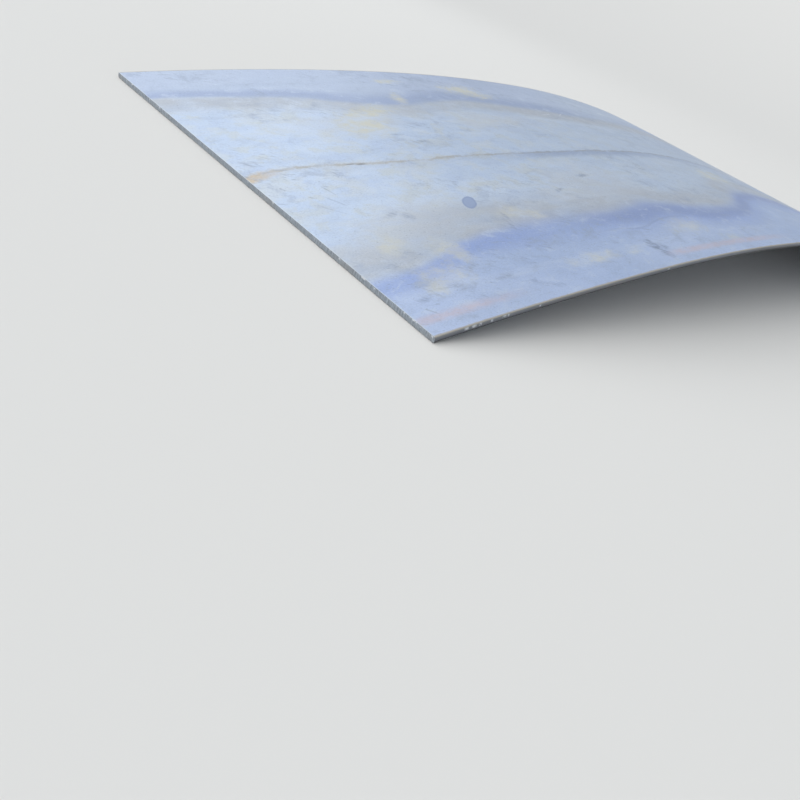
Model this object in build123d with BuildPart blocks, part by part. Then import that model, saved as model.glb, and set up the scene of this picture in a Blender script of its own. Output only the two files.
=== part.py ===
from build123d import *
import math
import os

# Hot-rolled carbon steel plate, cut to length from coil stock.
# One rolled piece: rounded mill edges along both long sides, sheared ends,
# and the bow that the plate shows in its stack, convex upwards.
# Millimetres. X runs along the rolling direction, Y across it, Z is up.
# The plate lies on a level floor on the lower edges of its two ends.

# Stock size
plate_width = 1500.0
plate_thickness = 16.0

# Bow along the rolling direction, measured on the middle layer of the plate:
# three arcs that tighten towards the crown, then a straight tail
entry_length = 1000.0
entry_turn = 4.0
rise_length = 1000.0
rise_turn = 5.6
crown_length = 1000.0
crown_turn = 8.4
tail_length = 3000.0

# Mill edge: the free edge of the rolled strip bulges out between the two faces
mill_edge_bulge = 0.22 * plate_thickness

# Sheared end: a clean cut band where the blade went in, then a torn face
# that leans back from it
torn_depth = 0.60 * plate_thickness
torn_lean = 0.6


def heading_vector(turned):
    """Direction along the plate after it has turned down by this many degrees."""
    return Vector(math.cos(math.radians(turned)), -math.sin(math.radians(turned)))


def bow_line():
    """Middle layer of the plate in side view, from the near end to the far end."""
    point, turned = Vector(0, 0), 0.0
    with BuildLine() as line:
        for length, turn in (
            (entry_length, entry_turn),
            (rise_length, rise_turn),
            (crown_length, crown_turn),
        ):
            arc = JernArc(
                start=point,
                tangent=heading_vector(turned),
                radius=length / math.radians(turn),
                arc_size=-turn,
            )
            point, turned = arc @ 1, turned + turn
        Line(point, point + heading_vector(turned) * tail_length)
    return line.line.rotate(Axis.X, 90)


bow = bow_line()


def rolled_section():
    """The strip's section across the rolling direction: two flat faces, two bulged edges."""
    half_flat = plate_width / 2 - mill_edge_bulge
    half_thick = plate_thickness / 2
    with BuildSketch() as section:
        with BuildLine():
            Line((-half_flat, half_thick), (half_flat, half_thick))
            ThreePointArc(
                (half_flat, half_thick), (plate_width / 2, 0), (half_flat, -half_thick)
            )
            Line((half_flat, -half_thick), (-half_flat, -half_thick))
            ThreePointArc(
                (-half_flat, -half_thick), (-plate_width / 2, 0), (-half_flat, half_thick)
            )
        make_face()
    return section.sketch


def scrap_profile(end):
    """Side view of what the shear tears away above the clean cut at one end (0 near, 1 far)."""
    inward = (bow % end) * (1 - 2 * end)
    side_view = Plane(origin=bow @ end, x_dir=inward, z_dir=(0, 1, 0))
    up = 1 if side_view.y_dir.Z > 0 else -1
    face = up * plate_thickness / 2
    clean_to = face - up * torn_depth
    slope = torn_lean / torn_depth
    with BuildSketch(side_view) as scrap:
        with BuildLine():
            Polyline(
                (0, clean_to),
                (torn_lean + slope, face + up),
                (-2, face + up),
                (-2, clean_to),
                close=True,
            )
        make_face()
    return scrap.sketch


with BuildPart() as steel_plate:
    # Rolled section with its mill edges, carried along the bow
    with BuildSketch(Plane(origin=bow @ 0, x_dir=(0, 1, 0), z_dir=bow % 0)):
        add(rolled_section())
    sweep(path=bow)

    # Both ends are trimmed with the same face down, so both tear at the top
    for end in (0, 1):
        scrap = scrap_profile(end)
        extrude(scrap, amount=plate_width / 2 + 5, both=True, mode=Mode.SUBTRACT)

# The ends' lower edges rest on the floor, so the line between them is level
def lower_edge(end):
    along = bow % end
    return (bow @ end) + Vector(along.Z, 0, -along.X) * (plate_thickness / 2)


seat = lower_edge(1) - lower_edge(0)
seat_angle = math.degrees(math.atan2(seat.Z, seat.X))

level = steel_plate.part.rotate(Axis.Y, seat_angle)
floor_height = lower_edge(1).rotate(Axis.Y, seat_angle).Z
plate = level.translate((-level.bounding_box().center().X, 0, -floor_height))
plate.label = "steel_plate"

os.makedirs("parts", exist_ok=True)
export_step(plate, "parts/steel_plate.step")
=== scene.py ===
import math

import bmesh
import bpy
from mathutils import Matrix, Vector


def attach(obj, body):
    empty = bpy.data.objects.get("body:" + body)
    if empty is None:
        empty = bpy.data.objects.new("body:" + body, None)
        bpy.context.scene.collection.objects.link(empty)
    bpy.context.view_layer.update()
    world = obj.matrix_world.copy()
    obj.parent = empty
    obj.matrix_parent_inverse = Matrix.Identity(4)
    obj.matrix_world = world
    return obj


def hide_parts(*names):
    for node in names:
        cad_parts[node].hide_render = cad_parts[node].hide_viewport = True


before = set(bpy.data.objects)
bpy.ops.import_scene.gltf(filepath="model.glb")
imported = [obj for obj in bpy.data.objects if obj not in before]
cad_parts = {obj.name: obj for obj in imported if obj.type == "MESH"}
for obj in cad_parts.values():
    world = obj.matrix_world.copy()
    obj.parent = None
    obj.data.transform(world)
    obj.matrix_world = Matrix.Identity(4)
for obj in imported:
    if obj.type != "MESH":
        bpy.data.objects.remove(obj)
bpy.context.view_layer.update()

# Stock size of the plate, in metres, and its mill edge
LENGTH = 6.0
WIDTH = 1.5
THICK = 0.016
EDGE_BULGE = 0.0035

# How deep the relief goes: buckles of the faces, wander and nicks of the mill edges
BUCKLE_DEPTH = 0.004
EDGE_WANDER = 0.0014
EDGE_NICK = 0.0006

# Bow: where the middle layer starts at the near end, how steeply it rises there,
# and each stretch as its length and the degrees that it turns down
NEAR_END = (-2.980591, 0.0, 0.007802)
RISE_AT_END = 12.7776
STRETCHES = ((1.0, 4.0), (1.0, 5.6), (1.0, 8.4), (3.0, 0.0))


# Camera

def photo_camera():
    """The photo's camera, as seen from the plate: its three directions, place and lens."""
    right = (0.687727, -0.629183, 0.362162)
    up = (0.115141, 0.587085, 0.801295)
    back = (-0.716781, -0.509372, 0.476199)
    place = (-4.23699, -1.62454, 0.67351)
    lens = bpy.data.cameras.new("camera")
    lens.sensor_width = 36.0
    lens.lens = 35.352
    lens.clip_start = 0.05
    lens.clip_end = 200.0
    camera = bpy.data.objects.new("camera", lens)
    bpy.context.scene.collection.objects.link(camera)
    camera.matrix_world = Matrix((
        (right[0], up[0], back[0], place[0]),
        (right[1], up[1], back[1], place[1]),
        (right[2], up[2], back[2], place[2]),
        (0, 0, 0, 1),
    ))
    bpy.context.scene.camera = camera


photo_camera()


# Editing helpers

def only(piece):
    if bpy.context.object and bpy.context.object.mode != "OBJECT":
        bpy.ops.object.mode_set(mode="OBJECT")
    bpy.ops.object.select_all(action="DESELECT")
    piece.select_set(True)
    bpy.context.view_layer.objects.active = piece


def pick(piece, kind, wanted):
    """In edit mode, selects the verts, edges or faces that wanted() accepts."""
    modes = {"verts": "VERT", "edges": "EDGE", "faces": "FACE"}
    bpy.ops.mesh.select_mode(type=modes[kind])
    bpy.ops.mesh.select_all(action="DESELECT")
    mesh = bmesh.from_edit_mesh(piece.data)
    chosen = [e for e in getattr(mesh, kind) if wanted(e)]
    for e in chosen:
        e.select_set(True)
    mesh.select_flush_mode()
    bmesh.update_edit_mesh(piece.data)


def span(edge, axis):
    """How long an edge is along one axis."""
    a, b = edge.verts
    return abs(a.co[axis] - b.co[axis])


def apply_modifiers(piece):
    only(piece)
    for modifier in list(piece.modifiers):
        bpy.ops.object.modifier_apply(modifier=modifier.name)


def weigh(piece, name, weight):
    """Gives each point the weight that weight() finds for its place."""
    group = piece.vertex_groups.new(name=name)
    for v in piece.data.vertices:
        amount = weight(v.co)
        if amount > 0:
            group.add([v.index], amount, "REPLACE")


def soft_step(value, start, stop):
    """Rises smoothly from 0 at start to 1 at stop."""
    t = min(max((value - start) / (stop - start), 0.0), 1.0)
    return t * t * (3 - 2 * t)


# The plate, first flat: x runs from the near end, y across, z through the thickness

def mill_edged_bar():
    """The rolled strip with its two rounded mill edges, left in edit mode."""
    bpy.ops.object.select_all(action="DESELECT")
    bpy.ops.mesh.primitive_cube_add(
        size=1, location=(LENGTH / 2, 0, 0), scale=(LENGTH, WIDTH, THICK / 2)
    )
    plate = bpy.context.object
    plate.name = plate.data.name = "rolled_plate"
    bpy.ops.object.transform_apply(location=True, rotation=True, scale=True)
    bpy.ops.object.mode_set(mode="EDIT")
    # Rounded at half height, then stretched, so each long edge is a half ellipse
    pick(plate, "edges", lambda e: span(e, 0) > 5)
    bpy.ops.mesh.bevel(offset=EDGE_BULGE, segments=6, profile=0.5, clamp_overlap=False)
    bpy.ops.mesh.select_all(action="SELECT")
    bpy.ops.mesh.remove_doubles(threshold=0.00001)
    bpy.ops.transform.resize(value=(1, 1, 2))
    return plate


def end_levels(plate):
    """The heights at which the flat plate has points, from the bottom up."""
    mesh = bmesh.from_edit_mesh(plate.data)
    return sorted({round(v.co.z, 5) for v in mesh.verts})


# How far the sheared end stands back, as pairs of height and distance in millimetres:
# rolled over at the bottom rim, flat where the blade cut, torn back above
SHEARED_END = (
    (-8.0, 1.30), (-7.7, 0.60), (-6.9, 0.18), (-5.6, 0.03), (-3.9, 0.0), (-1.9, 0.0),
    (0.0, 0.16), (2.2, 0.27), (4.1, 0.41), (5.7, 0.47), (7.0, 0.56), (7.8, 0.58), (8.0, 0.66),
)
# How far in from the ends the sheared finish goes, and how high the burr stands, in metres
END_DEPTH = 0.0013
BURR = 0.00025


def set_back(height_mm):
    """How far the sheared end stands back at a height, in metres."""
    for (z0, s0), (z1, s1) in zip(SHEARED_END, SHEARED_END[1:]):
        if height_mm <= z1:
            return (s0 + (s1 - s0) * (height_mm - z0) / (z1 - z0)) / 1000
    return SHEARED_END[-1][1] / 1000


def shear_ends(plate):
    """Gives both ends the rolled rim, cut band, torn face and burr of a shear's cut."""
    heights = end_levels(plate)
    for end in (0.0, LENGTH):
        inward = 1 if end == 0 else -1

        def pick_row(z):
            pick(plate, "verts", lambda v: (
                abs(v.co.x - end) < 1e-5 and abs(v.co.z - z) < 2e-5
            ))

        # Rows across the cut face, one at each height of the mill edge
        for z in heights[1:-1]:
            pick_row(z)
            bpy.ops.mesh.vert_connect()
        for z in heights:
            pick_row(z)
            bpy.ops.transform.translate(value=(inward * set_back(z * 1000), 0, 0))
        pick(plate, "verts", lambda v: (
            abs(v.co.x - end) < 0.002 and v.co.z > THICK / 2 - 1e-5
        ))
        bpy.ops.transform.translate(value=(0, 0, BURR))


def cut_to_grid(plate):
    """Cuts the plate into 15 mm steps along it and 25 mm steps across it."""
    pick(plate, "edges", lambda e: span(e, 0) > 5)
    bpy.ops.mesh.subdivide(number_cuts=99)
    pick(plate, "edges", lambda e: span(e, 0) > 0.03)
    bpy.ops.mesh.subdivide(number_cuts=3)
    pick(plate, "edges", lambda e: span(e, 1) > 1)
    bpy.ops.mesh.subdivide(number_cuts=59)


def remember_flat_place(plate):
    """Keeps each point's place on the flat plate, for the finishes to read."""
    mesh = plate.data
    flat = mesh.attributes.new("flat_place", "FLOAT_VECTOR", "POINT")
    places = [0.0] * (3 * len(mesh.vertices))
    mesh.vertices.foreach_get("co", places)
    flat.data.foreach_set("vector", places)


def ripple(plate, name, group, noise_scale, stretch, depth, direction):
    """Presses a cloudy relief into the plate, stretched along the rolling direction."""
    clouds = bpy.data.textures.new(name, "CLOUDS")
    clouds.noise_scale = noise_scale
    clouds.noise_depth = 2
    bpy.ops.object.empty_add(location=(0, 0, 0))
    grid = bpy.context.object
    grid.scale = (stretch, 1, 1)
    bpy.context.view_layer.update()
    press = plate.modifiers.new(name, "DISPLACE")
    press.texture = clouds
    press.texture_coords = "OBJECT"
    press.texture_coords_object = grid
    press.direction = direction
    press.strength = depth
    press.mid_level = 1.0
    press.vertex_group = group
    apply_modifiers(plate)
    bpy.data.objects.remove(grid)


def bow_curve():
    """The line that the plate's middle layer follows, one smooth arc per stretch."""
    bpy.ops.curve.primitive_bezier_curve_add(location=(0, 0, 0))
    line = bpy.context.object
    line.data.dimensions = "3D"
    line.data.twist_mode = "Z_UP"
    line.data.resolution_u = 64
    spline = line.data.splines[0]
    spline.bezier_points.add(len(STRETCHES) + 1 - len(spline.bezier_points))
    x, y, z = NEAR_END
    angle = math.radians(RISE_AT_END)

    def along_slope(distance):
        return (x + distance * math.cos(angle), y, z + distance * math.sin(angle))

    for i, (length, turn) in enumerate(STRETCHES):
        point, after = spline.bezier_points[i], spline.bezier_points[i + 1]
        swing = math.radians(turn)
        if swing:
            radius = length / swing
            handle = 4 / 3 * math.tan(swing / 4) * radius
            chord = 2 * radius * math.sin(swing / 2)
        else:
            handle, chord = length / 3, length
        for p in (point, after):
            p.handle_left_type = p.handle_right_type = "FREE"
        point.co = (x, y, z)
        if i == 0:
            point.handle_left = along_slope(-handle)
        point.handle_right = along_slope(handle)
        middle = angle - swing / 2
        x, z = x + chord * math.cos(middle), z + chord * math.sin(middle)
        angle -= swing
        after.co = (x, y, z)
        after.handle_left = along_slope(-handle)
        after.handle_right = along_slope(handle)
    return line


def bend_to_bow(plate):
    """Lays the flat plate along its bow."""
    line = bow_curve()
    bend = plate.modifiers.new("bow", "CURVE")
    bend.object = line
    bend.deform_axis = "POS_X"
    apply_modifiers(plate)
    bpy.data.objects.remove(line)


def rolled_plate():
    """The whole plate: rolled, sheared, buckled and bowed."""
    plate = mill_edged_bar()
    shear_ends(plate)
    cut_to_grid(plate)
    bpy.ops.mesh.select_all(action="SELECT")
    bpy.ops.mesh.normals_make_consistent(inside=False)
    bpy.ops.object.mode_set(mode="OBJECT")
    remember_flat_place(plate)
    weigh(plate, "free_span", lambda c: (
        soft_step(c.x, 0.05, 0.9) * soft_step(LENGTH - c.x, 0.05, 0.9)
    ))
    weigh(plate, "mill_edge", lambda c: (
        soft_step(abs(c.y), WIDTH / 2 - 0.0036, WIDTH / 2 - 0.0020)
    ))
    ripple(plate, "buckles", "free_span", 0.55, 2.2, BUCKLE_DEPTH, "Z")
    ripple(plate, "edge_wander", "mill_edge", 0.10, 3.0, EDGE_WANDER, "NORMAL")
    ripple(plate, "edge_nicks", "mill_edge", 0.02, 1.5, EDGE_NICK, "NORMAL")
    bend_to_bow(plate)
    return plate


plate = rolled_plate()


# Finishes

def from_screen(r, g, b):
    """A colour given as it looks on a screen, 0 to 255, as the light value it stands for."""
    def light(c):
        c /= 255
        return c / 12.92 if c <= 0.04045 else ((c + 0.055) / 1.055) ** 2.4
    return (light(r), light(g), light(b), 1.0)


class Finish:
    """One material and the steps that its nodes are made in."""

    def __init__(self, name):
        self.material = bpy.data.materials.new(name)
        self.material.use_nodes = True
        self.tree = self.material.node_tree
        self.tree.nodes.clear()
        self.output = self.tree.nodes.new("ShaderNodeOutputMaterial")
        self.shader = self.tree.nodes.new("ShaderNodeBsdfPrincipled")
        self.tree.links.new(self.shader.outputs[0], self.output.inputs[0])
        flat = self.tree.nodes.new("ShaderNodeAttribute")
        flat.attribute_name = "flat_place"
        self.place = flat.outputs["Vector"]
        split = self.tree.nodes.new("ShaderNodeSeparateXYZ")
        self.feed(split.inputs[0], self.place)
        self.along, self.across, self.height = split.outputs

    def stain_reaches(self):
        """How far off the nearest film and the nearest dust stain are, 1 at a stain's rim."""
        stains = self.tree.nodes.new("ShaderNodeAttribute")
        stains.attribute_name = "stain_reach"
        split = self.tree.nodes.new("ShaderNodeSeparateXYZ")
        self.feed(split.inputs[0], stains.outputs["Vector"])
        return split.outputs[0], split.outputs[1]

    def feed(self, socket, value):
        if isinstance(value, bpy.types.NodeSocket):
            self.tree.links.new(value, socket)
        else:
            socket.default_value = value

    def math(self, operation, a, b=0.0):
        step = self.tree.nodes.new("ShaderNodeMath")
        step.operation = operation
        self.feed(step.inputs[0], a)
        self.feed(step.inputs[1], b)
        return step.outputs[0]

    def times(self, a, b):
        return self.math("MULTIPLY", a, b)

    def plus(self, a, b):
        return self.math("ADD", a, b)

    def less(self, a, b):
        return self.math("SUBTRACT", a, b)

    def most(self, a, b):
        return self.math("MAXIMUM", a, b)

    def size_of(self, a):
        return self.math("ABSOLUTE", a)

    def fade(self, value, start, stop, low=0.0, high=1.0):
        """Rises smoothly from low at start to high at stop."""
        step = self.tree.nodes.new("ShaderNodeMapRange")
        step.interpolation_type = "SMOOTHSTEP"
        self.feed(step.inputs["Value"], value)
        flip = stop < start
        ends = (stop, start, high, low) if flip else (start, stop, low, high)
        for name, number in zip(("From Min", "From Max", "To Min", "To Max"), ends):
            step.inputs[name].default_value = number
        return step.outputs[0]

    def stretched(self, grain, shift=(0, 0, 0), turn=0.0):
        """The place on the plate, turned, then drawn out where grain is small."""
        step = self.tree.nodes.new("ShaderNodeMapping")
        step.vector_type = "TEXTURE"
        self.feed(step.inputs["Vector"], self.place)
        step.inputs["Location"].default_value = shift
        step.inputs["Rotation"].default_value = (0, 0, math.radians(turn))
        step.inputs["Scale"].default_value = [1 / g for g in grain]
        return step.outputs[0]

    def noise(
        self, scale, detail=3.0, rough=0.55,
        grain=(1, 1, 1), shift=(0, 0, 0), turn=0.0, warp=0.0,
    ):
        place = self.stretched(grain, shift, turn)
        step = self.tree.nodes.new("ShaderNodeTexNoise")
        self.feed(step.inputs["Vector"], place)
        step.inputs["Scale"].default_value = scale
        step.inputs["Detail"].default_value = detail
        step.inputs["Roughness"].default_value = rough
        step.inputs["Distortion"].default_value = warp
        return step.outputs[0]

    def curve(self, value, points):
        """A smooth line through the given points; both ways run from 0 to 1."""
        step = self.tree.nodes.new("ShaderNodeFloatCurve")
        line = step.mapping.curves[0]
        line.points[0].location = points[0]
        line.points[1].location = points[-1]
        for x, y in points[1:-1]:
            line.points.new(x, y)
        step.mapping.update()
        self.feed(step.inputs["Value"], value)
        return step.outputs[0]

    def tint(self, amount, under, over):
        """Covers one colour with another where amount is high."""
        step = self.tree.nodes.new("ShaderNodeMix")
        step.data_type = "RGBA"
        step.clamp_factor = True
        self.feed(step.inputs[0], amount)
        self.feed(step.inputs[6], under)
        self.feed(step.inputs[7], over)
        return step.outputs[2]

    def lay(self, under, amount, strength, tone):
        """Lays a screen tone over a colour where amount is high."""
        return self.tint(self.times(amount, strength), under, from_screen(*tone))

    def between(self, value, start, full_start, full_stop, stop):
        """1 between the two middle numbers, falling smoothly to 0 at the outer two."""
        rise, fall = self.fade(value, start, full_start), self.fade(value, stop, full_stop)
        return self.times(rise, fall)

    def pull(self, noise, reach):
        """A noise made a shift to both sides of 0, by up to half of reach."""
        return self.times(self.less(noise, 0.5), reach)

    def patches(self, spots, worn, ragged, soft=(1.15, 0.05)):
        """Soft ragged blots, each given as in the lists of blots below."""
        nearest = None
        for x, w, long, wide, turn in spots:
            spot = self.tree.nodes.new("ShaderNodeMapping")
            spot.vector_type = "TEXTURE"
            spot.inputs["Location"].default_value = (x, w - WIDTH / 2, 0)
            spot.inputs["Rotation"].default_value = (0, 0, math.radians(turn))
            spot.inputs["Scale"].default_value = (long, wide, 1)
            self.feed(spot.inputs["Vector"], self.place)
            reach = self.tree.nodes.new("ShaderNodeVectorMath")
            reach.operation = "LENGTH"
            self.feed(reach.inputs[0], spot.outputs[0])
            far = reach.outputs["Value"]
            nearest = far if nearest is None else self.math("MINIMUM", nearest, far)
        return self.stain(nearest, worn, ragged, soft)

    def stain(self, reach, worn, ragged, soft=(1.15, 0.05)):
        """Full where reach is 0, gone past 1, with a rim that the worn noise makes ragged."""
        shake = self.times(self.less(worn, 0.5), ragged * 2)
        return self.fade(self.plus(reach, shake), *soft)

    def finish(self, colour, roughness, relief, depth, strength):
        self.feed(self.shader.inputs["Base Color"], colour)
        self.feed(self.shader.inputs["Roughness"], roughness)
        bump = self.tree.nodes.new("ShaderNodeBump")
        bump.inputs["Strength"].default_value = strength
        bump.inputs["Distance"].default_value = depth
        self.feed(bump.inputs["Height"], relief)
        self.feed(self.shader.inputs["Normal"], bump.outputs[0])
        return self.material


# Where the temper bands and lines run, as pairs of a share of the length and a share of
# the width, counted from the near edge
NEAR_BAND = (
    (0.0, 0.135), (0.0125, 0.138), (0.029, 0.142), (0.042, 0.153), (0.053, 0.178),
    (0.067, 0.190), (0.106, 0.197), (0.136, 0.201), (0.160, 0.190), (0.190, 0.188),
    (0.218, 0.201), (0.240, 0.184), (0.265, 0.162), (0.300, 0.163), (0.318, 0.176),
    (0.336, 0.208), (0.368, 0.262), (0.420, 0.255), (0.50, 0.205), (0.62, 0.220),
    (0.80, 0.175), (1.0, 0.190),
)
FAR_BAND = (
    (0.0, 0.868), (0.015, 0.867), (0.037, 0.862), (0.0855, 0.837), (0.120, 0.806),
    (0.152, 0.799), (0.180, 0.818), (0.2035, 0.832), (0.270, 0.809), (0.312, 0.789),
    (0.45, 0.800), (0.65, 0.775), (0.82, 0.802), (1.0, 0.785),
)
MIDDLE_LINE = (
    (0.0, 0.501), (0.011, 0.514), (0.032, 0.518), (0.061, 0.509), (0.090, 0.500),
    (0.142, 0.501), (0.184, 0.498), (0.259, 0.509), (0.326, 0.519), (0.45, 0.505),
    (0.7, 0.516), (1.0, 0.505),
)
CONTOUR = (
    (0.0, 0.140), (0.140, 0.148), (0.165, 0.146), (0.177, 0.137), (0.199, 0.153),
    (0.210, 0.161), (0.224, 0.163), (0.245, 0.150), (0.300, 0.140), (1.0, 0.120),
)

# Blots on the top face, each as its place along the plate and up from the near edge, its
# half length and half width, in metres, and its turn in degrees
BEIGE_FILM = (
    (0.30, 0.42, 0.34, 0.10, 12), (0.16, 0.36, 0.16, 0.08, 20), (0.62, 1.06, 0.30, 0.12, 0),
    (1.15, 0.52, 0.40, 0.12, 5), (1.25, 1.02, 0.35, 0.10, 0), (2.9, 0.8, 0.5, 0.2, 0),
    (4.2, 0.95, 0.6, 0.15, 8), (5.4, 0.5, 0.4, 0.2, 0),
)
YELLOW_DUST = (
    (0.590, 1.000, 0.090, 0.070, 0), (0.700, 1.110, 0.120, 0.045, 15),
    (1.365, 1.335, 0.110, 0.060, 0), (1.440, 1.285, 0.080, 0.035, 0),
    (0.928, 1.226, 0.050, 0.032, 60), (1.007, 1.393, 0.065, 0.022, 0),
    (0.308, 0.270, 0.050, 0.060, 20), (0.200, 0.185, 0.075, 0.045, 0),
    (0.150, 0.150, 0.040, 0.030, 30), (0.672, 0.393, 0.060, 0.030, 0),
    (0.735, 0.366, 0.045, 0.022, 0), (1.316, 0.184, 0.110, 0.045, 0),
    (0.714, 0.115, 0.110, 0.028, 0), (0.900, 0.110, 0.050, 0.018, 0),
    (0.160, 0.350, 0.045, 0.040, 0), (1.480, 0.085, 0.060, 0.020, 0),
    (2.3, 0.60, 0.16, 0.07, 0), (3.4, 1.05, 0.20, 0.06, 15), (4.4, 0.38, 0.20, 0.08, -10),
    (5.2, 0.93, 0.15, 0.07, 0),
)
GREY_SCUFFS = (
    (1.008, 0.115, 0.026, 0.044, 0), (1.016, 0.068, 0.020, 0.036, -8),
    (1.045, 0.092, 0.022, 0.018, 20), (0.619, 0.372, 0.008, 0.036, -12),
    (0.596, 0.338, 0.008, 0.036, -12), (0.352, 0.126, 0.028, 0.007, 0),
    (0.452, 0.060, 0.055, 0.014, -25), (0.420, 0.085, 0.020, 0.012, 40),
    (0.552, 0.227, 0.012, 0.008, 0), (0.300, 0.195, 0.030, 0.014, 30),
    (0.315, 0.460, 0.020, 0.028, 0), (0.280, 0.480, 0.040, 0.010, 20),
    (0.182, 0.640, 0.003, 0.030, 12), (0.162, 0.585, 0.003, 0.035, 28),
    (0.134, 0.535, 0.003, 0.026, 40), (0.730, 0.870, 0.035, 0.012, 10),
    (0.675, 0.930, 0.030, 0.010, 0), (0.995, 0.480, 0.030, 0.010, 20),
    (0.200, 0.140, 0.030, 0.014, 0), (0.080, 0.125, 0.030, 0.010, 10),
    (1.220, 0.560, 0.040, 0.012, 0), (3.3, 0.92, 0.05, 0.012, 30),
    (3.0, 0.35, 0.02, 0.06, 10), (4.8, 1.10, 0.04, 0.03, 0),
)
CHALK = (
    (2.385, 1.303, 0.060, 0.020, 0), (1.700, 1.130, 0.060, 0.005, 15),
    (1.830, 1.150, 0.060, 0.004, 30), (4.6, 0.30, 0.05, 0.02, 40),
)
DARK_BLOT = ((0.386, 0.758, 0.022, 0.008, 0), (0.350, 0.764, 0.030, 0.004, 0))
# White paint on the near mill edge, blots as well
PAINT_FLECKS = (
    (0.098, 0, 0.009, 0.1, 0), (0.122, 0, 0.010, 0.1, 0), (0.142, 0, 0.006, 0.1, 0),
    (0.180, 0, 0.005, 0.1, 0), (0.222, 0, 0.008, 0.1, 0), (0.236, 0, 0.004, 0.1, 0),
    (0.350, 0, 0.004, 0.1, 0), (0.930, 0, 0.008, 0.1, 0), (2.10, 0, 0.020, 0.1, 0),
    (3.70, 0, 0.012, 0.1, 0), (4.90, 0, 0.025, 0.1, 0),
)
# The print's place as for the blots, and half of its short way
OVAL_PRINT = (0.567, 0.476, 0.0215)
PRINT_SHORT_TO_LONG = 0.53


def temper_colours(f, colour, share, width_share, mottle):
    """The oxide's colours over the width: pale middle, blue bands, lavender edges."""
    wander = f.noise(6.0, 3.0, 0.5, grain=(0.45, 1, 1))
    wobble = f.pull(wander, 0.030)
    near_off = f.plus(f.less(width_share, f.curve(share, NEAR_BAND)), wobble)
    far_off = f.plus(f.less(f.curve(share, FAR_BAND), width_share), wobble)
    clouds = f.noise(1.7, 3.0, 0.5, grain=(0.5, 1, 1), shift=(3, 1, 0))
    cloudy = f.fade(clouds, 0.35, 0.70)

    # Lavender outside the bands, weaker on the far side from 2 to 3 m
    outer = f.tint(cloudy, from_screen(175, 191, 222), from_screen(191, 204, 231))
    colour = f.tint(f.fade(near_off, 0.045, -0.015), colour, outer)
    far_outer = f.tint(cloudy, from_screen(186, 197, 220), from_screen(192, 203, 222))
    seen_far = f.most(f.fade(f.along, 2.25, 1.80, 0.25, 1.0), f.fade(f.along, 3.1, 3.6))
    outside = f.times(f.fade(far_off, 0.030, -0.015), f.fade(seen_far, 0.0, 1.0, 0.3, 1.0))
    colour = f.tint(outside, colour, far_outer)

    # Grey-brown and straw fringe on the centre side of each band
    near_fringe = f.between(near_off, -0.010, 0.034, 0.075, 0.150)
    far_fringe = f.times(f.between(far_off, -0.004, 0.026, 0.052, 0.105), 1.1)
    fringe = f.times(f.most(near_fringe, far_fringe), f.fade(mottle, 0.34, 0.62, 0.50, 0.95))
    colour = f.tint(fringe, colour, from_screen(186, 190, 197))

    # Blue temper bands, broken up along their length and narrow at the near end
    breaks = f.noise(2.4, 3.0, 0.55, grain=(0.7, 1, 1), shift=(0, 5, 0))
    breaks = f.fade(breaks, 0.34, 0.58, 0.62, 1.0)
    spread = f.times(near_off, f.fade(f.along, 0.05, 0.85, 2.2, 1.0))
    near_band = f.times(f.between(spread, -0.105, -0.004, 0.002, 0.062), breaks)
    near_band = f.times(near_band, f.fade(f.along, 0.0, 0.20, 0.90, 1.0))
    colour = f.lay(colour, near_band, 0.90, (152, 171, 218))
    core = f.between(spread, -0.040, -0.004, 0.004, 0.036)
    core = f.times(core, f.between(f.along, 0.7, 1.1, 2.6, 3.4))
    colour = f.lay(colour, core, 0.60, (136, 151, 193))
    far_spread = f.times(far_off, f.fade(f.along, 0.05, 0.9, 1.9, 1.0))
    far_band = f.between(far_spread, -0.070, -0.008, 0.004, 0.034)
    far_band = f.times(far_band, f.fade(breaks, 0.2, 0.9, 0.55, 1.0))
    colour = f.lay(colour, f.times(far_band, seen_far), 0.84, (158, 172, 203))

    # Thin contour inside the near band
    contour = f.less(width_share, f.curve(share, CONTOUR))
    contour = f.plus(contour, f.times(wobble, 0.3))
    line = f.between(contour, -0.0035, -0.0006, 0.0010, 0.0070)
    line = f.times(line, f.between(f.along, 0.80, 1.05, 1.32, 1.50))
    return f.lay(colour, line, 0.42, (140, 154, 190))


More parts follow.
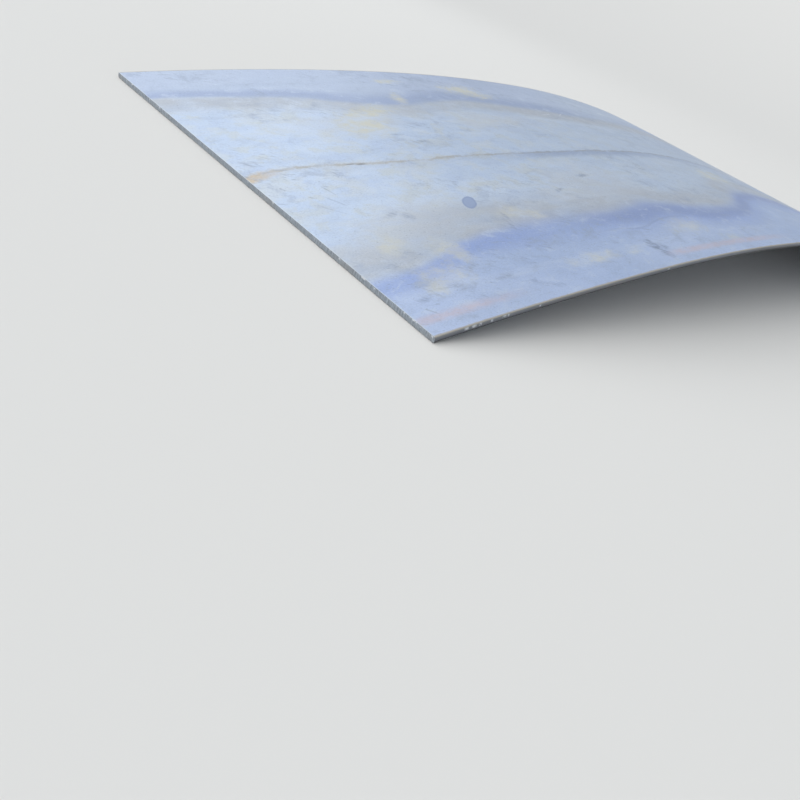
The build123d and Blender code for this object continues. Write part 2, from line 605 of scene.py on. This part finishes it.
def middle_line(f, colour, share, width_share, fine):
    """Tan line that runs along the middle, with a bluish shadow on its near side."""
    off = f.less(width_share, f.curve(share, MIDDLE_LINE))
    off = f.plus(off, f.pull(f.noise(40.0, 5.0, 0.75, grain=(0.7, 1, 1)), 0.026))
    from_line = f.size_of(off)
    shadow = f.between(off, -0.042, -0.008, -0.002, 0.010)
    shadow = f.times(shadow, f.fade(f.along, 0.90, 1.25, 0.16, 1.0))
    shadow = f.times(shadow, f.fade(f.along, 2.4, 1.7, 0.55, 1.0))
    colour = f.lay(colour, shadow, 0.85, (155, 169, 196))

    breaks = f.noise(9.0, 5.0, 0.65, grain=(1, 0.2, 1), shift=(2, 0, 0))
    breaks = f.fade(breaks, 0.34, 0.60, 0.22, 1.0)
    line = f.times(f.fade(from_line, 0.0062, 0.0010), breaks)
    line = f.times(line, f.fade(f.along, 1.9, 2.6, 1.0, 0.5))
    grey_on = f.fade(f.along, 0.7, 1.1)
    tan = f.tint(grey_on, from_screen(162, 155, 144), from_screen(154, 157, 162))
    colour = f.tint(f.times(line, 0.80), colour, tan)
    halo = f.times(breaks, f.fade(f.along, 0.7, 1.2, 0.35, 0.10))
    halo = f.times(f.fade(from_line, 0.016, 0.002), halo)
    colour = f.tint(halo, colour, from_screen(198, 194, 184))

    # Rusty bloom where the line meets the near end
    bloom = f.fade(f.size_of(f.plus(off, 0.004)), 0.020, 0.004)
    bloom = f.times(bloom, f.fade(f.along, 0.15, 0.015))
    bloom = f.times(bloom, f.fade(fine, 0.32, 0.62, 0.55, 1.0))
    return f.tint(bloom, colour, from_screen(205, 186, 160))


def edge_tints(f, colour, fine):
    """Warm tint beside the long edges, rubbed rusty rims and a painted highlight along the
    rims of the ends.
    """
    from_near = f.plus(f.across, WIDTH / 2)
    from_edge = f.less(WIDTH / 2, f.size_of(f.across))
    pink = f.between(from_near, 0.034, 0.054, 0.060, 0.082)
    farther_on = f.between(from_edge, 0.010, 0.026, 0.030, 0.048)
    pink = f.most(pink, f.times(farther_on, f.fade(f.along, 1.6, 2.2)))
    places = f.most(
        f.between(f.along, -0.5, 0.0, 0.16, 0.42),
        f.between(f.along, 0.98, 1.10, 1.55, 2.0),
    )
    scattered = f.noise(1.3, 3.0, 0.6, grain=(1, 0.3, 1), shift=(9, 0, 0))
    scattered = f.times(f.fade(scattered, 0.50, 0.66), f.fade(f.along, 2.0, 2.4))
    pink = f.times(pink, f.most(places, scattered))
    pink = f.times(pink, f.fade(fine, 0.30, 0.60, 0.45, 1.0))
    colour = f.lay(colour, pink, 0.50, (212, 190, 192))
    rim = f.fade(f.plus(from_edge, f.pull(fine, 0.006)), 0.0090, 0.0042)
    colour = f.lay(colour, rim, 0.75, (178, 166, 146))
    # Painted highlight along the rims of the ends
    from_end = f.math("MINIMUM", f.along, f.less(LENGTH, f.along))
    return f.lay(colour, f.fade(from_end, 0.0045, 0.0016), 0.45, (214, 219, 225))


def centre_colour(f, mottle):
    """Pale centre, cooler near the end and a warmer grey past the rise of the bow, with
    painted shade that darkens it from 2 m on.
    """
    broad = f.noise(2.6, 3.0, 0.5, grain=(0.6, 1, 1), shift=(5, 3, 0))
    broad = f.fade(broad, 0.36, 0.66)
    colour = f.tint(broad, from_screen(193, 207, 228), from_screen(204, 216, 233))
    colour = f.lay(colour, f.fade(mottle, 0.48, 0.63), 0.62, (203, 208, 212))
    beige = f.noise(13.0, 4.0, 0.62, grain=(0.8, 1, 1), shift=(2, 9, 0), warp=0.3)
    colour = f.lay(colour, f.fade(beige, 0.50, 0.64), 0.60, (200, 204, 203))
    colour = f.lay(colour, f.fade(beige, 0.47, 0.34), 0.40, (184, 200, 228))
    colour = f.tint(f.fade(f.along, 0.6, 2.2, 0.0, 0.70), colour, from_screen(189, 201, 218))
    # Painted shade: darker and bluer from 2 m on, past the rise of the bow
    return f.tint(f.fade(f.along, 2.0, 3.0, 0.0, 0.65), colour, from_screen(168, 182, 206))


def scratch_marks(f, rubbed):
    """Short scratches in two directions, gathered where the plate was rubbed."""
    steep = f.noise(95.0, 2.0, 0.5, grain=(0.20, 1.2, 1), turn=-52, warp=0.6)
    flat = f.noise(85.0, 2.0, 0.5, grain=(0.18, 1.3, 1), turn=-20, shift=(3, 0, 0), warp=0.6)
    scratches = f.most(f.fade(steep, 0.64, 0.70), f.fade(flat, 0.65, 0.70))
    return f.times(scratches, f.fade(rubbed, 0.46, 0.62, 0.15, 1.0))


def oval_print(f, colour, fine):
    """Print where something oval stood, its long way at 45 degrees to the rolling."""
    x, w, half_short = OVAL_PRINT
    dx, dy = f.less(f.along, x), f.less(f.across, w - WIDTH / 2)
    long_way = f.times(f.plus(dx, dy), PRINT_SHORT_TO_LONG * math.sqrt(0.5))
    short_way = f.times(f.less(dx, dy), math.sqrt(0.5))
    far = f.plus(f.times(long_way, long_way), f.times(short_way, short_way))
    far = f.plus(f.math("SQRT", far), f.pull(fine, 0.008))
    inside = f.fade(far, half_short + 0.002, half_short - 0.003, 0.0, 0.80)
    colour = f.tint(inside, colour, from_screen(150, 166, 199))
    rings = [half_short + step for step in (-0.006, -0.003, -0.001, 0.002)]
    return f.lay(colour, f.between(far, *rings), 0.30, (124, 140, 178))


def mill_scale():
    """The scale of both faces, with all that lies or was rubbed on it."""
    f = Finish("mill_scale")
    share = f.math("DIVIDE", f.along, LENGTH)
    width_share = f.plus(f.math("DIVIDE", f.across, WIDTH), 0.5)
    mottle = f.noise(9.0, 5.0, 0.6, grain=(0.6, 1, 1), warp=0.3)
    fine = f.noise(70.0, 4.0, 0.6, grain=(0.5, 1, 1))
    streaks = f.noise(14.0, 5.0, 0.6, grain=(0.06, 1, 1), shift=(0, 2, 0))
    ragged = f.noise(34.0, 5.0, 0.65, grain=(0.8, 1, 1), shift=(1, 1, 0))
    colour = centre_colour(f, mottle)
    colour = temper_colours(f, colour, share, width_share, mottle)
    colour = middle_line(f, colour, share, width_share, fine)

    # Rolling streaks and scale mottle over everything
    colour = f.lay(colour, f.fade(streaks, 0.50, 0.72), 0.30, (170, 183, 205))
    colour = f.lay(colour, f.fade(streaks, 0.44, 0.26), 0.30, (214, 222, 234))
    colour = f.lay(colour, f.fade(mottle, 0.44, 0.28), 0.30, (178, 190, 214))
    colour = f.lay(colour, f.fade(fine, 0.56, 0.74), 0.28, (160, 170, 186))

    # Smudges, beige film in large stains, and a fine grain all over
    film_reach, dust_reach = f.stain_reaches()
    rubbed = f.noise(3.4, 3.0, 0.55, grain=(0.7, 1, 1), shift=(4, 4, 0))
    smudges = f.noise(17.0, 6.0, 0.72, grain=(0.75, 1, 1), shift=(0, 7, 0), warp=0.4)
    dark_smudges = f.times(f.fade(smudges, 0.50, 0.68), f.fade(rubbed, 0.40, 0.60, 0.35, 1.0))
    colour = f.lay(colour, dark_smudges, 0.55, (158, 169, 189))
    colour = f.lay(colour, f.fade(smudges, 0.47, 0.30), 0.50, (208, 217, 232))
    film = f.stain(film_reach, rubbed, 1.0)
    film = f.times(film, f.fade(smudges, 0.36, 0.60, 0.35, 1.0))
    colour = f.lay(colour, film, 0.60, (200, 203, 208))
    grain = f.noise(230.0, 2.0, 0.6, grain=(0.8, 1, 1))
    colour = f.lay(colour, f.fade(grain, 0.52, 0.70), 0.22, (146, 156, 172))
    colour = f.lay(colour, f.fade(grain, 0.48, 0.30), 0.20, (224, 230, 238))

    # Yellow dust, stronger on the far half, then scuffs, scratches and specks
    dust = f.stain(dust_reach, ragged, 1.2, soft=(1.50, 0.25))
    dust = f.times(dust, f.fade(smudges, 0.38, 0.58, 0.35, 1.0))
    dust_strength = f.fade(f.across, -0.25, 0.10, 0.50, 0.76)
    colour = f.lay(colour, dust, dust_strength, (206, 203, 184))
    fibres = f.noise(130.0, 3.0, 0.6, grain=(0.22, 1.1, 1), turn=-52)
    scuffs = f.patches(GREY_SCUFFS, ragged, 1.3, soft=(1.4, 0.1))
    scuffs = f.times(scuffs, f.fade(fibres, 0.42, 0.58, 0.35, 1.0))
    scuff_strength = f.fade(f.along, 0.6, 0.95, 0.48, 0.88)
    colour = f.lay(colour, scuffs, scuff_strength, (128, 139, 160))
    scratches = scratch_marks(f, rubbed)
    colour = f.lay(colour, scratches, 0.42, (136, 146, 164))
    specks = f.fade(f.noise(150.0, 2.0, 0.5), 0.67, 0.72)
    colour = f.lay(colour, specks, 0.40, (132, 138, 150))

    # White smears, the oval print and the dark blot on the middle line
    chalk = f.times(f.patches(CHALK, ragged, 0.9), f.fade(fibres, 0.44, 0.54, 0.2, 1.0))
    colour = f.lay(colour, chalk, 0.75, (226, 230, 236))
    colour = oval_print(f, colour, fine)
    colour = f.lay(colour, f.patches(DARK_BLOT, ragged, 0.4), 0.70, (112, 112, 114))
    colour = edge_tints(f, colour, fine)

    # The underside is the same scale, darker and dirtier
    below = f.fade(f.height, 0.004, -0.004)
    dirty = f.times(f.fade(mottle, 0.42, 0.66), 0.6)
    dirty = f.tint(dirty, from_screen(112, 118, 128), from_screen(128, 116, 102))
    colour = f.tint(f.times(below, 0.72), colour, dirty)

    rough = f.plus(0.38, f.pull(mottle, 0.30))
    rough = f.plus(rough, f.times(f.most(dust, scuffs), 0.20))
    relief = f.plus(f.times(streaks, 0.45), f.times(mottle, 0.6))
    relief = f.plus(f.times(fine, 0.35), relief)
    relief = f.less(relief, f.times(scratches, 0.30))
    f.shader.inputs["Metallic"].default_value = 0.55
    return f.finish(colour, rough, relief, depth=0.0012, strength=0.35)


def mill_edge():
    """The long edges as rolled: streaked, with a warm top rim, painted light on the upper
    half and painted shade towards the bottom.
    """
    f = Finish("mill_edge")
    streaks = f.noise(30.0, 5.0, 0.6, grain=(0.10, 1, 8))
    patches = f.noise(3.0, 4.0, 0.6, grain=(0.6, 1, 1), shift=(7, 0, 0))
    fine = f.noise(160.0, 3.0, 0.6, grain=(0.4, 1, 3))
    streaked = f.fade(streaks, 0.34, 0.68)
    colour = f.tint(streaked, from_screen(88, 92, 99), from_screen(112, 116, 124))
    colour = f.lay(colour, f.fade(patches, 0.52, 0.70), 0.5, (104, 97, 90))
    colour = f.lay(colour, f.fade(fine, 0.58, 0.74), 0.4, (130, 134, 138))
    # Painted light: the upper half of the edge is lighter, as where it faces up; a warm line
    # runs along the top rim
    colour = f.lay(colour, f.fade(f.height, -0.0005, 0.0060), 0.60, (142, 143, 146))
    colour = f.lay(colour, f.fade(f.height, 0.0062, 0.0077), 0.80, (182, 174, 156))
    # Painted shade: darker towards the bottom of the edge
    colour = f.lay(colour, f.fade(f.height, 0.0005, -0.0068), 0.88, (30, 35, 40))

    # White paint flecks near the near corner and a few farther on
    speckle = f.noise(160.0, 4.0, 0.65, grain=(0.6, 1, 1), shift=(1.3, 0, 0))
    flecks = f.patches(PAINT_FLECKS, speckle, 1.2, soft=(1.0, 0.5))
    flecks = f.times(flecks, f.between(f.height, -0.001, 0.002, 0.005, 0.008))
    flecks = f.times(flecks, f.fade(speckle, 0.42, 0.50))
    colour = f.lay(colour, flecks, 0.8, (206, 211, 216))
    rough = f.plus(0.45, f.times(streaks, 0.25))
    relief = f.plus(f.times(streaks, 0.8), f.times(fine, 0.3))
    f.shader.inputs["Metallic"].default_value = 0.25
    return f.finish(colour, rough, relief, depth=0.0010, strength=0.6)


def sheared_end():
    """The cut ends: striated, smoother in the clean cut band, with a painted highlight along
    the top rim, painted shade towards the bottom rim and painted glints on nicks towards the
    top.
    """
    f = Finish("sheared_end")
    striae = f.noise(220.0, 3.0, 0.6, grain=(1, 1, 0.10))
    broad = f.noise(6.0, 4.0, 0.6, grain=(1, 1, 1), shift=(2, 0, 0))
    grain = f.noise(420.0, 3.0, 0.6)
    clean = f.fade(f.height, -0.0011, -0.0023)
    striated = f.fade(striae, 0.35, 0.68)
    colour = f.tint(striated, from_screen(121, 129, 138), from_screen(167, 176, 185))
    colour = f.lay(colour, clean, 0.40, (154, 161, 169))
    colour = f.lay(colour, f.fade(broad, 0.50, 0.70), 0.35, (148, 143, 138))
    # Painted highlight along the top rim, and painted shade towards the bottom rim
    colour = f.lay(colour, f.fade(f.height, 0.0067, 0.0078), 0.6, (196, 202, 208))
    colour = f.lay(colour, f.fade(f.height, -0.0067, -0.0078), 0.5, (88, 92, 98))
    # Nicks towards the top, their white a painted glint
    nick_glints = f.fade(f.noise(60.0, 2.0, 0.5, shift=(0, 4, 0)), 0.62, 0.66)
    nick_glints = f.times(nick_glints, f.fade(f.height, 0.001, 0.006, 0.15, 0.9))
    colour = f.tint(nick_glints, colour, from_screen(214, 218, 222))
    rough = f.plus(0.50, f.times(clean, -0.14))
    relief = f.plus(f.times(striae, 0.8), f.times(grain, 0.3))
    f.shader.inputs["Metallic"].default_value = 0.35
    return f.finish(colour, rough, relief, depth=0.0008, strength=0.6)


def reach_of(spots, along, across):
    """How far off the nearest of the spots is, 1 at its rim."""
    nearest = 4.0
    for x, w, long, wide, turn in spots:
        dx, dy, swing = along - x, across + WIDTH / 2 - w, math.radians(turn)
        u = (dx * math.cos(swing) + dy * math.sin(swing)) / long
        v = (dy * math.cos(swing) - dx * math.sin(swing)) / wide
        nearest = min(nearest, math.hypot(u, v))
    return nearest


def remember_stains(plate, places):
    """Keeps each point's distance to the large stains, for the mill scale to read."""
    reaches = [0.0] * len(places)
    for i in range(0, len(places), 3):
        along, across = places[i], places[i + 1]
        reaches[i] = reach_of(BEIGE_FILM, along, across)
        reaches[i + 1] = reach_of(YELLOW_DUST, along, across)
    stains = plate.data.attributes.new("stain_reach", "FLOAT_VECTOR", "POINT")
    stains.data.foreach_set("vector", reaches)


def dress(plate):
    """Gives the faces, the mill edges and the sheared ends their own finish."""
    for material in (mill_scale(), mill_edge(), sheared_end()):
        plate.data.materials.append(material)
    flat = plate.data.attributes["flat_place"].data
    places = [0.0] * (3 * len(flat))
    flat.foreach_get("vector", places)
    remember_stains(plate, places)

    def middle(face):
        """Along and across of a face's middle on the flat plate."""
        corners = face.vertices
        return [sum(places[3 * v + i] for v in corners) / len(corners) for i in range(2)]

    for face in plate.data.polygons:
        x, y = middle(face)
        if x < END_DEPTH or x > LENGTH - END_DEPTH:
            face.material_index = 2
        elif abs(y) > WIDTH / 2 - EDGE_BULGE + 0.0001:
            face.material_index = 1
    only(plate)
    bpy.ops.object.shade_smooth_by_angle(angle=math.radians(32))


dress(plate)
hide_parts("steel_plate")
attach(plate, "root")


# Floor and light

def studio_floor():
    """A wide round pale floor whose rim rises gently all round, so no horizon shows."""
    flat_radius, rim_radius, rim_height, steps = 14, 90, 10, 16
    bpy.ops.object.select_all(action="DESELECT")
    bpy.ops.mesh.primitive_circle_add(
        vertices=96, radius=flat_radius, fill_type="NOTHING", location=(0, 0, 0)
    )
    floor = bpy.context.object
    floor.name = floor.data.name = "studio_floor"
    bpy.ops.object.mode_set(mode="EDIT")
    radius, height = flat_radius, 0.0
    for step in range(1, steps + 1):
        wider = flat_radius + (rim_radius - flat_radius) * step / steps
        higher = rim_height * (step / steps) ** 2
        bpy.ops.mesh.extrude_region_move()
        bpy.ops.transform.resize(value=(wider / radius, wider / radius, 1))
        bpy.ops.transform.translate(value=(0, 0, higher - height))
        radius, height = wider, higher
    pick(floor, "verts", lambda v: v.co.z < 0.001)
    bpy.ops.mesh.edge_face_add()
    bpy.ops.object.mode_set(mode="OBJECT")
    bpy.ops.object.shade_smooth()
    pale = bpy.data.materials.new("pale_floor")
    pale.use_nodes = True
    shader = pale.node_tree.nodes["Principled BSDF"]
    shader.inputs["Base Color"].default_value = from_screen(218, 216, 212)
    shader.inputs["Roughness"].default_value = 0.9
    shader.inputs["Specular IOR Level"].default_value = 0.2
    floor.data.materials.append(pale)


def soft_window(name, place, aim, size, power, colour):
    """A large soft light that the rising end of the plate reflects."""
    data = bpy.data.lights.new(name, "AREA")
    data.shape = "RECTANGLE"
    data.size, data.size_y = size
    data.energy = power
    data.color = colour
    lamp = bpy.data.objects.new(name, data)
    bpy.context.scene.collection.objects.link(lamp)
    lamp.location = place
    lamp.rotation_euler = (Vector(aim) - Vector(place)).to_track_quat("-Z", "Y").to_euler()
    lamp.visible_camera = False


def studio_air():
    """Even bluish light from all round; seen directly, the air has the floor's own tone."""
    world = bpy.data.worlds.new("studio_air")
    bpy.context.scene.world = world
    world.use_nodes = True
    tree = world.node_tree
    light = tree.nodes["Background"]
    light.inputs[0].default_value = (0.80, 0.89, 1.0, 1.0)
    light.inputs[1].default_value = 0.56
    seen = tree.nodes.new("ShaderNodeBackground")
    seen.inputs[0].default_value = from_screen(231, 231, 230)
    which = tree.nodes.new("ShaderNodeLightPath")
    blend = tree.nodes.new("ShaderNodeMixShader")
    tree.links.new(which.outputs["Is Camera Ray"], blend.inputs[0])
    tree.links.new(light.outputs[0], blend.inputs[1])
    tree.links.new(seen.outputs[0], blend.inputs[2])
    tree.links.new(blend.outputs[0], tree.nodes["World Output"].inputs[0])


def soft_sun(name, toward, strength, spread, colour):
    """Even light from one side; a wide spread makes its shadows soft."""
    data = bpy.data.lights.new(name, "SUN")
    data.energy = strength
    data.angle = math.radians(spread)
    data.color = colour
    lamp = bpy.data.objects.new(name, data)
    bpy.context.scene.collection.objects.link(lamp)
    lamp.rotation_euler = Vector(toward).to_track_quat("-Z", "Y").to_euler()


studio_floor()
soft_sun("key_light", (0.75, -0.25, -0.60), 2.7, 125, (1.0, 0.975, 0.94))
soft_window("window_light", (-1.5, 8.5, 6.5), (-2.3, 0, 0.2), (12, 6), 125, (0.93, 0.97, 1.0))
studio_air()
bpy.context.scene.view_settings.view_transform = "Standard"
